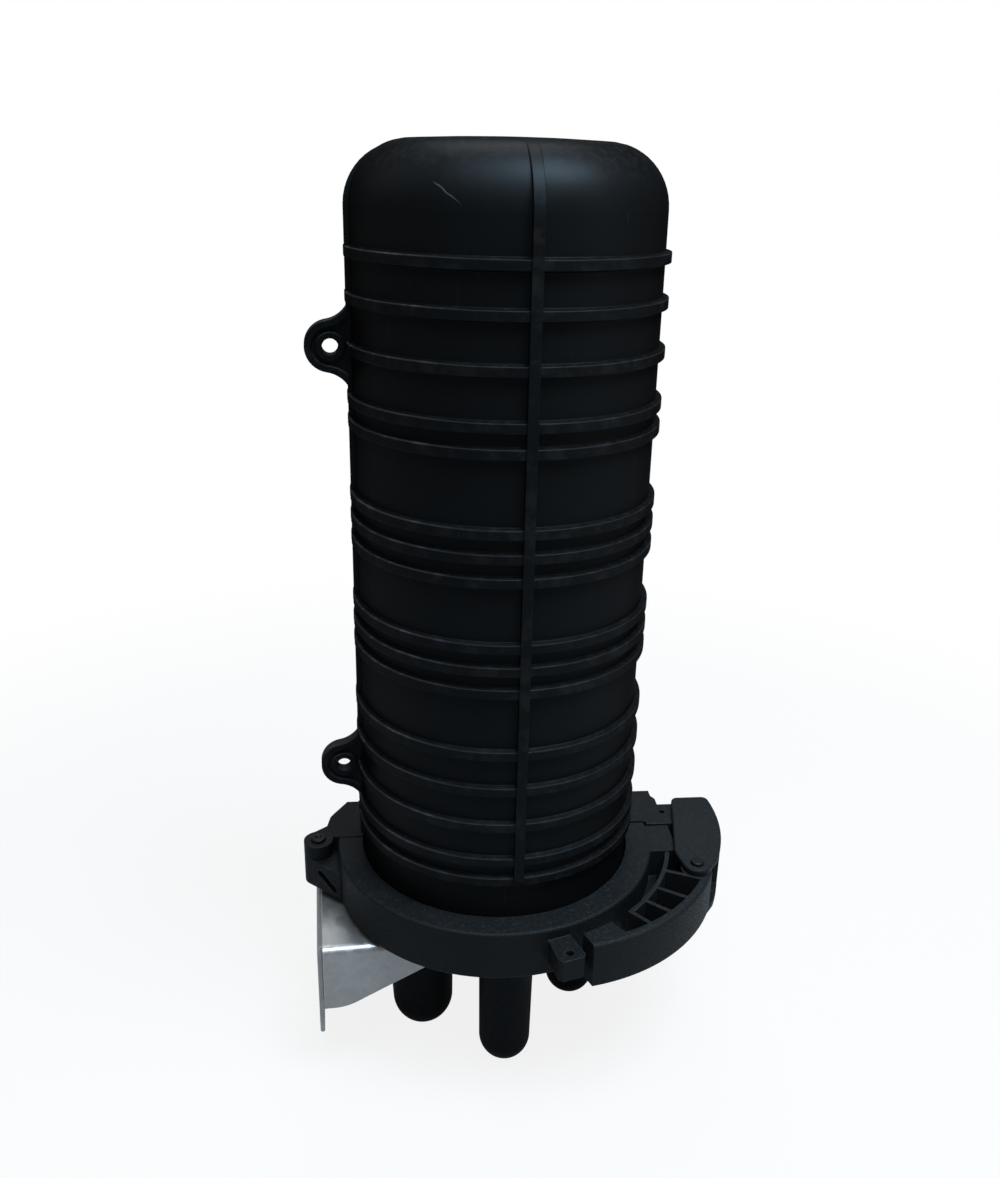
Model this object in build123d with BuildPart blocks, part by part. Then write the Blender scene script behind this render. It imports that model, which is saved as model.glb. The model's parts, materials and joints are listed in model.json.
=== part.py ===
"""Dome splice closure for fibre cable, held by a folded wall bracket.

Sizes are in millimetres. The origin is the middle of the bracket's bolt holes on the wall face, +X points
away from the wall and +Z up. Heights below are counted from the parting plane between dome and base.
"""
import os
from math import acos, asin, atan2, cos, degrees, radians, sin, sqrt, tan

from build123d import *

# Driving sizes: the plan sizes below are drawn for a dome of this radius and grow with it
dome_r = 72.5
dome_height = 376.3
plan = dome_r / 72.5

# Place of the closure on its wall
wall_to_axis = 100.5 * plan
deck_drop = 16.0
plate_drop = 29.0
parting_rise = deck_drop + plate_drop

# Small clearances
seat_gap = 0.3
pin_gap = 0.05
screw_gap = 0.15

# Dome
dome_wall = 3.2
crown = 1.2
shoulder_r = 28.0 * plan
rib_height = 2.8
rib_root = 6.4
rib_crest = 4.4
rib_pitch = 11.3
rib_counts = (2, 1, 1, 1, 3, 3, 2, 1, 1, 1)
rib_shares = (0.09301, 0.17539, 0.22854, 0.28036, 0.36673, 0.51156, 0.66702, 0.76003, 0.81982, 0.87297)
rib_heights = tuple(share * dome_height for share in rib_shares)
seam_width = 5.0
seam_height = 3.4
seam_run_out = 0.12
bite = 1.0

# Lugs on the dome's wall side, each level with a rib
lug_heights = (rib_heights[1], rib_heights[-3])
lug_reach = 10.0
lug_end_r = 12.0
lug_blend_r = 14.0
lug_tip = 0.5
lug_thick = 7.0
lug_web = 3.4
lug_rim = 3.2
lug_boss_r = 6.6
lug_hole_r = 3.75
rib_stop = 20.5 * plan
rib_stop_step = 0.15

# Flanges of dome and base, and the seal between them
flange_reach = 8.0
flange_rim = 5.0
flange_slope = 20.0
seal_section_r = 2.25
seal_out = 3.1
seal_side_gap = 0.25
flange_r = dome_r + flange_reach
seal_r = dome_r + seal_out

# Base and ports
floor_thick = 5.0
spigot_thick = 3.5
spigot_height = 8.0
port_circle_r = 47.0 * plan
port_angles = (-90.0, 0.0, 90.0)
port_root_r = 14.9 * plan
port_tip_r = 14.0 * plan
port_wall = 3.0
port_bottom = 98.5
oval_half_width = 17.0 * plan
oval_centres = 24.0 * plan
oval_x = -42.0 * plan
bore_r = dome_r - dome_wall
spigot_r = bore_r - seat_gap
floor_height = floor_thick - deck_drop

# Clamp ring
clamp_turn = -4.0
clamp_height = 27.0
clamp_wall = 6.0
clamp_round = 1.6
rim_gap = 1.0
lip_gap = 1.2
split_left_gap = 1.4
split_right_gap = 2.2
split_left_y = 1.5
split_right_y = 7.6 * plan
groove_r = flange_r + rim_gap
clamp_r = groove_r + clamp_wall
lip_r = dome_r + lip_gap
root_r = groove_r + clamp_wall / 2
half_clamp = clamp_height / 2

# Hinge of the clamp
hinge_reach = 10.9 * plan
knuckle_r = 8.0 * plan
knuckle_split = 5.5
hinge_arm = 26.0 * plan
hinge_pad = 38.0 * plan
hinge_pin_r = 3.0
hinge_slot_long = 11.5
hinge_slot_wide = 4.4
hinge_slot_deep = 5.0
hinge_slot_lean = -32.0
pin_head_r = 4.2
pin_head_thick = 1.6
hinge_x = -(clamp_r + hinge_reach)

# Latch, in the clamp's own plane
latch_top = half_clamp - seat_gap
latch_bottom = -11.2
link_pivot = (clamp_r + 29.0 * plan, 12.2 * plan)
lever_pivot = (clamp_r + 19.0 * plan, -38.5 * plan)
latch_pin_r = 3.0
catch_r = 11.5 * plan
catch_root_x = clamp_r + 0.8
catch_front_y = 5.4 * plan
catch_back_y = 25.5 * plan
seal_hole_y = 17.6 * plan
seal_hole_r = 1.75
seal_hole_depth = 6.0
front_lug_x = clamp_r + 12.5 * plan
front_lug_top = catch_front_y - split_right_gap
front_web_gap = 3.6
front_web_rise = 8.0
front_web_end = -42.0
front_lug_y = -21.2 * plan
link_plate = 3.2
link_wall = 3.5
link_end_r = 7.5 * plan
link_shoulder = (lever_pivot[0] - 2.0 * plan, lever_pivot[1] + 11.5 * plan)
link_bow_r = 104.0 * plan
link_bow_in = 1.8
link_wall_end_y = -18.0 * plan
link_swing = 35.0
lever_gap = 8.0 * plan
lever_wall = 4.2
lever_skin = 2.2
lever_round = 2.4
lever_floor = 4.0
lever_hub_r = 8.5 * plan
lever_pin_head_r = 3.7
lever_nose_angle = -14.0
lever_tip_angle = -67.5
lever_mid_angle = -42.0
lever_mid_reach = 28.0 * plan
lever_tip_reach = 18.5 * plan
pocket_angles = (-23.8, -33.5, -41.4, -49.0, -57.0)
pocket_rib = 1.8
lock_gap_angle = 1.6
lock_span_angle = 8.0
lock_reach = 17.5 * plan
lock_top = 7.5
lock_bottom = -4.5
lock_hole_r = 2.0
lock_chamfer = 2.0
lever_in_r = clamp_r + lever_gap
link_top = latch_top + seat_gap
link_bottom = latch_bottom - seat_gap

# Wall bracket, folded from sheet
sheet = 2.5
bend_r = 2.0
bracket_half_width = 51.0 * plan
shelf_end_x = -24.0 * plan
plate_height = 55.5
flange_back = 37.5
flange_front = 5.0
flange_straight = 10.0 * plan
flange_round = 25.0
plate_slit = 0.4
port_clearance = 2.5
wall_hole_r = 4.25
wall_hole_dy = 70.0 * plan
wall_hole_dz = 28.0
corner_r = 8.0
bracket_screw_r = 3.0
bracket_screw_x = (-54.0 * plan, -34.0 * plan)
bracket_screw_y = 40.0 * plan
bracket_screw_depth = 10.0
bracket_screw_head_r = 5.0
bracket_screw_head = 4.0
washer_r = 6.5
washer_thick = 1.6
boss_wall = 2.5
boss_rise = 8.0

# Tray carrier inside the dome
carrier_thick = 2.0
carrier_y = 8.0 * plan
carrier_half_width = 48.0 * plan
carrier_neck = 22.0 * plan
carrier_neck_top = 26.0
carrier_headroom = 58.3
foot_depth = 24.0 * plan
foot_rise = 6.0
small_screw_r = 2.0
small_screw_head_r = 3.8
small_screw_head = 2.4
small_screw_depth = 8.0
foot_screw_x = 15.0 * plan
foot_screw_inset = 6.0 * plan
foot_height = floor_height + foot_rise
carrier_top = dome_height - carrier_headroom

# Splice trays
tray_count = 4
tray_thick = 11.0 * plan
tray_gap = 0.4
tray_bottom = 32.0
tray_headroom = 10.0
tray_half_width = 47.0 * plan
tray_corner_r = 24.0 * plan
tray_floor = 1.6
tray_rim = 1.8
drum_r = 20.0 * plan
drum_wall = 1.6
drum_inset = 58.0
comb_width = 44.0 * plan
comb_height = 40.0
comb_slots = 6
cover_thick = 1.4
hinge_bar_r = 2.5
hinge_bar_height = 21.0
hinge_bar_half = 28.0 * plan
rack_half_width = 34.0 * plan
rack_lip = 1.0
rack_web = 0.8
rack_floor = 1.2
rack_screw_x = 12.0 * plan
strap_width = 22.0
strap_thick = 1.2
strap_share = 0.5725
tray_height = carrier_top - tray_headroom - tray_bottom
strap_height = tray_bottom + strap_share * tray_height
rack_top = hinge_bar_height + rack_lip
rack_screw_height = hinge_bar_height - hinge_bar_r - seat_gap - rack_web - small_screw_r - screw_gap
rack_bottom = rack_screw_height - small_screw_r - screw_gap - rack_floor

# Storage basket behind the carrier
basket_bottom = 44.0
basket_headroom = 68.0
basket_half_width = 40.0 * plan
basket_depth = 30.0 * plan
basket_wall = 2.0
basket_corner_r = 18.0 * plan
standoff_r = 4.0
standoff_inset = 22.0
standoff = strap_thick + 1.0
basket_top = carrier_top - basket_headroom

# Strength member clamps on the deck
cable_clamp_r = 28.0 * plan
cable_clamp_width = 14.0 * plan
cable_clamp_foot = 12.0 * plan
cable_clamp_headroom = 0.9
cable_clamp_sheet = 1.5
cable_clamp_rise = rack_bottom - foot_height - cable_clamp_headroom


def polar(radius, angle):
    """Point at a radius and an angle in degrees about the closure's axis."""
    return radius * cos(radians(angle)), radius * sin(radians(angle))


def level(height, turn=0.0):
    """Flat plane centred on the closure's axis at a height, turned about that axis."""
    return Plane(origin=(wall_to_axis, 0, parting_rise + height), x_dir=(*polar(1, turn), 0),
                 z_dir=(0, 0, 1))


def clamp_level(height):
    """Flat plane at a height that is turned with the clamp."""
    return level(height, clamp_turn)


def front_plane(x=0.0, y=0.0, height=0.0):
    """Upright plane seen from the front: across is +X and up is +Z."""
    return Plane(origin=(wall_to_axis + x, y, parting_rise + height), x_dir=(1, 0, 0), z_dir=(0, -1, 0))


def side_plane(x=0.0):
    """Upright plane seen along the X axis: across is +Y and up is +Z."""
    return Plane(origin=(wall_to_axis + x, 0, parting_rise), x_dir=(0, 1, 0), z_dir=(1, 0, 0))


def spot(x, y, height):
    """Place in the closure's own coordinates."""
    return Location((wall_to_axis + x, y, parting_rise + height))


def grip(radius, gap=0.0):
    """Height of the flange's sloped face at a radius, or of the clamp's face with a gap."""
    return flange_rim + (flange_r - radius) * tan(radians(flange_slope)) + gap


def save(piece, name):
    """Label a finished piece and write it."""
    piece.part.label = name
    export_step(piece.part, f"parts/{name}.step")


def half_outline(radius, height, shoulder, mode=Mode.ADD):
    """Half of the dome's outline, from the parting plane over the shoulder to the axis."""
    with BuildLine() as outline:
        Polyline((0, height + crown), (0, 0), (radius, 0), (radius, height - shoulder))
        CenterArc((radius - shoulder, height - shoulder), shoulder, 0, 90)
        flat = radius - shoulder
        crown_r = (flat ** 2 + crown ** 2) / (2 * crown)
        rise = degrees(atan2(crown_r - crown, flat))
        CenterArc((0, height + crown - crown_r), crown_r, rise, 90 - rise)
    make_face(outline.edges(), mode=mode)


def lug_outline():
    """Round-ended lug about its hole, blended into the dome's wall above and below."""
    rise = sqrt((lug_end_r + lug_blend_r) ** 2 - (lug_blend_r - lug_reach) ** 2)
    lean = degrees(atan2(rise, lug_blend_r - lug_reach))
    with BuildLine() as outline:
        Polyline((lug_reach + bite, 0), (lug_reach + bite, rise), (lug_reach, rise))
        CenterArc((lug_reach - lug_blend_r, rise), lug_blend_r, 0, -lean)
        CenterArc((0, 0), lug_end_r, 180 - lean, lean)
        mirror(about=Plane.XZ)
    make_face(outline.edges())
    tip_angle = acos(1 - lug_tip / lug_blend_r)
    Rectangle(4 * lug_end_r, 2 * (rise - lug_blend_r * sin(tip_angle)), mode=Mode.INTERSECT)


def cut_lug_pockets(plane):
    """Recess both faces of a lug inside its rim and round its boss, and drill it."""
    depth = (lug_thick - lug_web) / 2
    for side in (1, -1):
        with BuildSketch(plane.offset(side * lug_thick / 2)) as recess:
            lug_outline()
            offset(amount=-lug_rim, mode=Mode.REPLACE)
            Circle(lug_boss_r, mode=Mode.SUBTRACT)
        extrude(recess.sketch, amount=-side * depth, mode=Mode.SUBTRACT)
    with BuildSketch(plane) as hole:
        Circle(lug_hole_r)
    extrude(hole.sketch, amount=lug_thick, both=True, mode=Mode.SUBTRACT)


os.makedirs("parts", exist_ok=True)

# Dome
with BuildPart() as dome:
    with BuildSketch(front_plane()):
        half_outline(dome_r, dome_height, shoulder_r)
        for first, count in zip(rib_heights, rib_counts):
            for place in range(count):
                with Locations((dome_r, first + place * rib_pitch)):
                    Polygon((-bite, -rib_root / 2), (rib_height, -rib_crest / 2),
                            (rib_height, rib_crest / 2), (-bite, rib_root / 2), align=None)
        Polygon((dome_r - bite, 0), (flange_r, 0), (flange_r, flange_rim),
                (dome_r - bite, grip(dome_r - bite)), align=None)
        half_outline(bore_r, dome_height - dome_wall, shoulder_r - dome_wall, Mode.SUBTRACT)
    revolve(axis=Axis((wall_to_axis, 0, 0), (0, 0, 1)))
    with BuildSketch(level(rib_heights[0] - rib_root)):
        with Locations((-dome_r, 0)):
            Rectangle(2 * rib_stop, 2 * rib_stop)
        Circle(dome_r + rib_stop_step, mode=Mode.SUBTRACT)
    extrude(amount=rib_heights[-1] - rib_heights[0] + 2 * rib_root, mode=Mode.SUBTRACT)
    with BuildSketch(side_plane()):
        half_outline(dome_r + seam_height, dome_height - seam_run_out, shoulder_r + seam_height)
        half_outline(dome_r - bite, dome_height - bite, shoulder_r - bite, Mode.SUBTRACT)
        Rectangle(4 * dome_r, rib_heights[0], align=(Align.CENTER, Align.MIN), mode=Mode.SUBTRACT)
        mirror(about=Plane.YZ)
    extrude(amount=seam_width / 2, both=True)
save(dome, "dome")

# Lugs, moulded on the dome's wall side
with BuildPart() as dome_lugs:
    for lug_height in lug_heights:
        lug_plane = front_plane(x=-(dome_r + lug_reach), height=lug_height)
        with BuildSketch(lug_plane):
            lug_outline()
        extrude(amount=lug_thick / 2, both=True)
        cut_lug_pockets(lug_plane)
    add(dome.part, mode=Mode.SUBTRACT)
save(dome_lugs, "dome_lugs")


def round_port(x, y, shrink, top, mode=Mode.ADD):
    """Round-ended tube from its tip up to a height, thinner all round by shrink."""
    tip = port_tip_r - shrink
    tip_height = port_tip_r - port_bottom
    with Locations(spot(x, y, tip_height)):
        Sphere(tip, mode=mode)
        Cone(tip, port_root_r - shrink, top - tip_height,
             align=(Align.CENTER, Align.CENTER, Align.MIN), mode=mode)


def oval_port(shrink, top, mode=Mode.ADD):
    """Flattened tube with a rounded end, thinner all round by shrink."""
    end_r = oval_half_width - shrink
    end_height = oval_half_width - port_bottom
    with Locations(spot(oval_x, 0, end_height)):
        Cylinder(end_r, oval_centres, rotation=(90, 0, 0), mode=mode)
        with GridLocations(0, oval_centres, 1, 2):
            Sphere(end_r, mode=mode)
    with BuildSketch(Plane(spot(oval_x, 0, end_height))) as slot:
        SlotCenterToCenter(oval_centres, 2 * end_r, rotation=90)
    extrude(slot.sketch, amount=top - end_height, mode=mode)


def screw_bosses(places, radius, bottom, top):
    """Round bosses on the deck between two heights."""
    with BuildSketch(level(bottom)) as rounds:
        with Locations(*places):
            Circle(radius)
    extrude(rounds.sketch, amount=top - bottom)


bracket_screws_at = [(x, side * bracket_screw_y) for x in bracket_screw_x for side in (-1, 1)]
foot_screws_at = [(side * foot_screw_x, y) for side in (-1, 1)
                  for y in (carrier_y - foot_screw_inset, carrier_y - foot_depth + foot_screw_inset)]
cable_clamps_at = [polar(cable_clamp_r, angle) for angle in port_angles]
ports_at = [polar(port_circle_r, angle) for angle in port_angles]

# Base ring with its flange, spigot and seal groove
deck_r = spigot_r - spigot_thick
with BuildPart() as base:
    seal_depth = 2 * seal_section_r + 2 * pin_gap
    with BuildSketch(front_plane()):
        Polygon((deck_r, -deck_drop), (dome_r, -deck_drop), (dome_r, -grip(dome_r)), (flange_r, -flange_rim),
                (flange_r, 0), (spigot_r, 0), (spigot_r, spigot_height), (deck_r, spigot_height), align=None)
        with Locations((seal_r, 0)):
            Rectangle(2 * (seal_section_r + seal_side_gap), 2 * seal_depth, mode=Mode.SUBTRACT)
    revolve(axis=Axis((wall_to_axis, 0, 0), (0, 0, 1)))
    with BuildSketch(level(-deck_drop)):
        with Locations(*bracket_screws_at):
            Circle(bracket_screw_r + boss_wall)
    extrude(amount=floor_thick + boss_rise, mode=Mode.SUBTRACT)
save(base, "base")

# Deck across the base, moulded with it, with the port openings and the screw bosses
with BuildPart() as base_deck:
    with BuildSketch(level(-deck_drop)):
        Circle(deck_r)
    extrude(amount=floor_thick)
    screw_bosses(bracket_screws_at, bracket_screw_r + boss_wall, -deck_drop, floor_height + boss_rise)
    screw_bosses(foot_screws_at, small_screw_r + boss_wall, floor_height - bite, foot_height)
    screw_bosses(cable_clamps_at, small_screw_r + boss_wall, floor_height - bite, foot_height)
    with BuildSketch(level(-deck_drop)):
        with Locations(*ports_at):
            Circle(port_root_r - port_wall)
        with Locations((oval_x, 0)):
            SlotCenterToCenter(oval_centres, 2 * (oval_half_width - port_wall), rotation=90)
    extrude(amount=floor_thick + boss_rise, mode=Mode.SUBTRACT)
    with BuildSketch(level(-deck_drop)):
        with Locations(*bracket_screws_at):
            Circle(bracket_screw_r + screw_gap)
    extrude(amount=bracket_screw_depth, mode=Mode.SUBTRACT)
    with BuildSketch(level(foot_height)):
        with Locations(*foot_screws_at, *cable_clamps_at):
            Circle(small_screw_r + screw_gap)
    extrude(amount=-small_screw_depth, mode=Mode.SUBTRACT)
save(base_deck, "base_deck")

# Blind cable ports under the deck, moulded with it
for port_name, (port_x, port_y) in zip(("port_front", "port_right", "port_rear"), ports_at):
    with BuildPart() as port:
        round_port(port_x, port_y, 0, -deck_drop)
        round_port(port_x, port_y, port_wall, -deck_drop, Mode.SUBTRACT)
    save(port, port_name)

with BuildPart() as port_oval:
    oval_port(0, -deck_drop)
    oval_port(port_wall, -deck_drop, Mode.SUBTRACT)
save(port_oval, "port_oval")

# Seal ring in the base's groove
with BuildPart() as o_ring:
    with BuildSketch(front_plane()):
        with Locations((seal_r, -seal_section_r - pin_gap)):
            Circle(seal_section_r)
    revolve(axis=Axis((wall_to_axis, 0, 0), (0, 0, 1)))
save(o_ring, "o_ring")


def clamp_ring():
    """Whole clamp ring, a channel whose sloped lips draw the two flanges together."""
    with BuildSketch(front_plane()) as section:
        with BuildLine():
            lip, wall = grip(lip_r, seat_gap), grip(groove_r, seat_gap)
            Polyline((clamp_r, -half_clamp), (clamp_r, half_clamp), (lip_r, half_clamp), (lip_r, lip),
                     (groove_r, wall), (groove_r, -wall), (lip_r, -lip), (lip_r, -half_clamp), close=True)
        profile = make_face()
        fillet(profile.vertices().group_by(Axis.X)[-1], clamp_round)
    revolve(section.sketch, axis=Axis((wall_to_axis, 0, 0), (0, 0, 1)))


def keep_half(side):
    """Cut away the other half of the clamp ring: side is 1 for the rear half and -1 for the front."""
    far = 3 * clamp_r
    left, right = split_left_y + side * split_left_gap / 2, split_right_y + side * split_right_gap / 2
    with BuildSketch(clamp_level(0)) as other:
        Polygon((-far, left), (0, left), (0, right), (far, right), (far, -side * far), (-far, -side * far),
                align=None)
    extrude(other.sketch, amount=clamp_height, both=True, mode=Mode.SUBTRACT)


def drill(places, radius, bottom, top):
    """Upright holes in the clamp's plane between two heights."""
    with BuildSketch(clamp_level(bottom)) as holes:
        with Locations(*places):
            Circle(radius)
    extrude(holes.sketch, amount=top - bottom, mode=Mode.SUBTRACT)


# Rear half of the clamp, with the upper hinge knuckle and the catch that carries the link
with BuildPart() as clamp_rear_half:
    clamp_ring()
    keep_half(1)
    split_y = split_left_y + split_left_gap / 2
    with BuildSketch(clamp_level(knuckle_split)):
        with Locations((hinge_x, 0)):
            Circle(knuckle_r)
        arm_start = 180 - degrees(asin(split_y / root_r))
        arm_end = 180 - degrees(asin(hinge_pad / root_r))
        Polygon(*[polar(root_r, arm_end + step * (arm_start - arm_end) / 4) for step in range(5)],
                (hinge_x + knuckle_r, split_y), (hinge_x, 0),
                (hinge_x - knuckle_r * cos(radians(30)), knuckle_r * sin(radians(30))),
                (hinge_x + knuckle_r / 2, hinge_arm / 2), (hinge_x / 2 - clamp_r / 2, hinge_arm * 0.85),
                (hinge_x / 2 - clamp_r / 2 + 2, hinge_arm), (3.5 - clamp_r, hinge_pad), align=None)
    extrude(amount=half_clamp - knuckle_split)
    with BuildSketch(clamp_level(latch_bottom)):
        Polygon(*[polar(root_r, arm_end + step * (arm_start - arm_end) / 4) for step in range(5)],
                (hinge_x + knuckle_r, split_y), (hinge_x + knuckle_r / 2, hinge_arm / 2),
                (hinge_x / 2 - clamp_r / 2, hinge_arm * 0.85), (hinge_x / 2 - clamp_r / 2 + 2, hinge_arm),
                (3.5 - clamp_r, hinge_pad), align=None)
        with Locations((hinge_x, 0)):
            Circle(knuckle_r + 2 * seat_gap, mode=Mode.SUBTRACT)
    extrude(amount=knuckle_split - latch_bottom)
    catch_in_y = split_right_y + split_right_gap / 2
    catch_start = degrees(asin(catch_in_y / root_r))
    catch_far_y = link_pivot[1] + 2.5 * catch_r
    catch_end = degrees(asin(catch_far_y / root_r))
    with BuildSketch(clamp_level(latch_bottom)):
        with Locations(link_pivot):
            Circle(catch_r)
        Polygon((root_r, catch_in_y), (catch_root_x, catch_in_y),
                (catch_root_x, catch_front_y), (link_pivot[0], catch_front_y),
                (link_pivot[0], link_pivot[1] + catch_r), (link_pivot[0] - catch_r / 2, catch_back_y),
                (clamp_r + catch_r, catch_back_y),
                (clamp_r + catch_r, link_pivot[1] + 1.7 * catch_r),
                (clamp_r + catch_r - 2, link_pivot[1] + 2.0 * catch_r), (clamp_r + catch_r - 2, catch_far_y),
                *[polar(root_r, catch_end + step * (catch_start - catch_end) / 4) for step in range(4)],
                align=None)
    extrude(amount=latch_top - latch_bottom)
    drill([(hinge_x, 0)], hinge_pin_r + pin_gap, knuckle_split - bite, half_clamp + bite)
    drill([link_pivot], latch_pin_r + pin_gap, latch_bottom - bite, latch_top + bite)
    drill([(clamp_r + catch_r + 1, seal_hole_y)], seal_hole_r, latch_top - seal_hole_depth, latch_top + bite)
save(clamp_rear_half, "clamp_rear_half")

# Front half of the clamp, with the lower hinge knuckle, the lug that the lever presses on and the lock lug
with BuildPart() as clamp_front_half:
    clamp_ring()
    keep_half(-1)
    split_y = split_left_y - split_left_gap / 2
    with BuildSketch(clamp_level(latch_bottom)):
        with Locations((hinge_x, 0)):
            Circle(knuckle_r)
        Polygon((1 - clamp_r, split_y), (hinge_x, split_y),
                (hinge_x - knuckle_r * cos(radians(45)), -knuckle_r * sin(radians(45))),
                polar(clamp_r + bite, 194), polar(groove_r + bite, 194), align=None)
    extrude(amount=knuckle_split - seat_gap - latch_bottom)
    arm_near = Vector(*polar(clamp_r + bite, 194))
    arm_far = Vector(hinge_x - knuckle_r * cos(radians(45)), -knuckle_r * sin(radians(45)))
    arm_run = (arm_near - arm_far).normalized()
    arm_middle = (arm_near + arm_far) / 2 + Vector(0, 0, (knuckle_split + latch_bottom) / 2)
    arm_face = Plane(origin=arm_middle, x_dir=arm_run, z_dir=arm_run.cross(Vector(0, 0, 1)))
    with BuildSketch(clamp_level(0) * arm_face):
        with Locations(Location((hinge_slot_wide / 2, -hinge_slot_wide / 3), hinge_slot_lean)):
            SlotCenterToCenter(hinge_slot_long, hinge_slot_wide)
    extrude(amount=-hinge_slot_deep, mode=Mode.SUBTRACT)
    with BuildSketch(clamp_level(latch_bottom)):
        Polygon((groove_r + bite, front_lug_top), (front_lug_x, front_lug_top), (front_lug_x, front_lug_y),
                (groove_r - bite, front_lug_y), align=None)
    extrude(amount=latch_top - latch_bottom)
    with BuildSketch(clamp_level(latch_bottom)):
        web_start = lever_nose_angle / 2
        web_angles = [web_start + step * (front_web_end - web_start) / 8 for step in range(9)]
        Polygon(*[polar(root_r, angle) for angle in web_angles],
                *[polar(lever_in_r - front_web_gap, angle) for angle in reversed(web_angles)], align=None)
    extrude(amount=front_web_rise)
    lock_start = lever_tip_angle - lock_gap_angle
    lock_end = lock_start - lock_span_angle
    with BuildSketch(clamp_level(lock_bottom)):
        lock_r = clamp_r + lock_reach
        Polygon(polar(groove_r + bite, lock_start), polar(lock_r - lock_chamfer, lock_start),
                polar(lock_r, lock_start - 1), polar(lock_r, lock_end + 1),
                polar(lock_r - lock_chamfer, lock_end), polar(groove_r + bite, lock_end), align=None)
    extrude(amount=lock_top - lock_bottom)
    drill([(hinge_x, 0)], hinge_pin_r + pin_gap, latch_bottom - bite, knuckle_split)
    drill([polar(clamp_r + 0.7 * lock_reach, (lock_start + lock_end) / 2)], lock_hole_r, lock_bottom - bite,
          lock_top + bite)
save(clamp_front_half, "clamp_front_half")


def headed_pin(place, radius, bottom, top, head_r=pin_head_r):
    """Round pin with a domed head on top and a flat retaining collar below."""
    with BuildSketch(clamp_level(bottom)) as shank:
        with Locations(place):
            Circle(radius)
    extrude(shank.sketch, amount=top - bottom)
    with BuildSketch(clamp_level(top)) as head:
        with Locations(place):
            Circle(head_r)
    cap = extrude(head.sketch, amount=pin_head_thick)
    fillet(cap.faces().sort_by(Axis.Z)[-1].edges(), pin_head_thick * 0.6)
    with BuildSketch(clamp_level(bottom)) as collar:
        with Locations(place):
            Circle(pin_head_r)
    extrude(collar.sketch, amount=-pin_head_thick)


with BuildPart() as hinge_pin:
    headed_pin((hinge_x, 0), hinge_pin_r, latch_bottom - seat_gap, half_clamp)
    drill([(hinge_x, 0)], pin_head_r / 2, half_clamp + pin_head_thick / 2, half_clamp + 2 * pin_head_thick)
save(hinge_pin, "hinge_pin")

with BuildPart() as lever_pin:
    headed_pin(lever_pivot, latch_pin_r, link_bottom - link_plate, link_top + link_plate, lever_pin_head_r)
save(lever_pin, "lever_pin")

# Link pin, set from below so that the link's top stays plain
with BuildPart() as link_pin:
    collar_height = link_bottom - link_plate - seat_gap
    with BuildSketch(clamp_level(collar_height)):
        with Locations(link_pivot):
            Circle(latch_pin_r)
    extrude(amount=link_top + link_plate / 2 - seat_gap - collar_height)
    with BuildSketch(clamp_level(collar_height)):
        with Locations(link_pivot):
            Circle(pin_head_r)
    extrude(amount=-pin_head_thick)
save(link_pin, "link_pin")


def link_outline():
    """Plan of the link: round at the lever's pin, square and wider round the catch."""
    near, far = catch_r - 2.8, catch_r + seat_gap + link_wall
    x, y = link_pivot
    with BuildSketch(mode=Mode.PRIVATE) as hull:
        with Locations(lever_pivot, link_shoulder):
            Circle(link_end_r)
        Polygon((x - near, y + far), (x + far, y + far), (x + far, link_wall_end_y), align=None)
        make_hull()
        with Locations((x + far - link_bow_in - link_bow_r, y)):
            Circle(link_bow_r, mode=Mode.INTERSECT)
        fillet(hull.vertices().sort_by(Axis.Y)[-2:], 4.0)
    return hull.sketch


# Link, a channel over the catch and the lever's hub, open towards the ring
with BuildPart() as latch_link:
    with BuildSketch(clamp_level(link_bottom - link_plate)):
        add(link_outline())
    extrude(amount=link_top - link_bottom + 2 * link_plate)
    rim_edges = latch_link.edges().group_by(Axis.Z)
    fillet(rim_edges[-1], 1.2)
    open_angle = 90 - link_swing - 5
    reach = 60.0
    with BuildSketch(clamp_level(link_bottom)):
        add(link_outline())
        offset(amount=-link_wall, mode=Mode.REPLACE)
        with Locations(link_pivot):
            Circle(catch_r + seat_gap)
        x, y = link_pivot
        open_x, open_y = polar(reach, open_angle)
        Polygon((x, y), (x + open_x, y + open_y), (x - reach, y + reach), (x - reach, y - 2 * reach),
                (x + reach, y - 2 * reach), (x + reach, link_wall_end_y), (x, link_wall_end_y), align=None)
    extrude(amount=link_top - link_bottom, mode=Mode.SUBTRACT)
    drill([lever_pivot], latch_pin_r + pin_gap, link_bottom - 2 * link_plate, link_top + 2 * link_plate)
    drill([link_pivot], latch_pin_r + pin_gap, link_bottom - 2 * link_plate, link_top + link_plate / 2)
save(latch_link, "latch_link")


def lever_outline(inner_r=lever_in_r):
    """Plan of the lever: inner arc beside the ring, nose, hub and an outer arc that closes in on the tip."""
    start = (lever_pivot[0] + polar(lever_hub_r, -30)[0], lever_pivot[1] + polar(lever_hub_r, -30)[1])
    back = (lever_pivot[0] + polar(lever_hub_r, 120)[0], lever_pivot[1] + polar(lever_hub_r, 120)[1])
    tip = polar(clamp_r + lever_tip_reach, lever_tip_angle)
    outer_r = lever_in_r + lever_skin
    nose_turn = lever_nose_angle + degrees((outer_r - inner_r) / 2 / outer_r)
    with BuildLine() as outline:
        ThreePointArc(start, polar(clamp_r + lever_mid_reach, lever_mid_angle), tip)
        Line(tip, polar(inner_r, lever_tip_angle))
        CenterArc((0, 0), inner_r, lever_tip_angle, lever_nose_angle - lever_tip_angle)
        ThreePointArc(polar(inner_r, lever_nose_angle), polar((inner_r + outer_r) / 2, nose_turn),
                      polar(outer_r, lever_nose_angle))
        Polyline(polar(outer_r, lever_nose_angle), back, start)
    make_face(outline.edges())
    with Locations(lever_pivot):
        Circle(lever_hub_r)


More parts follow.
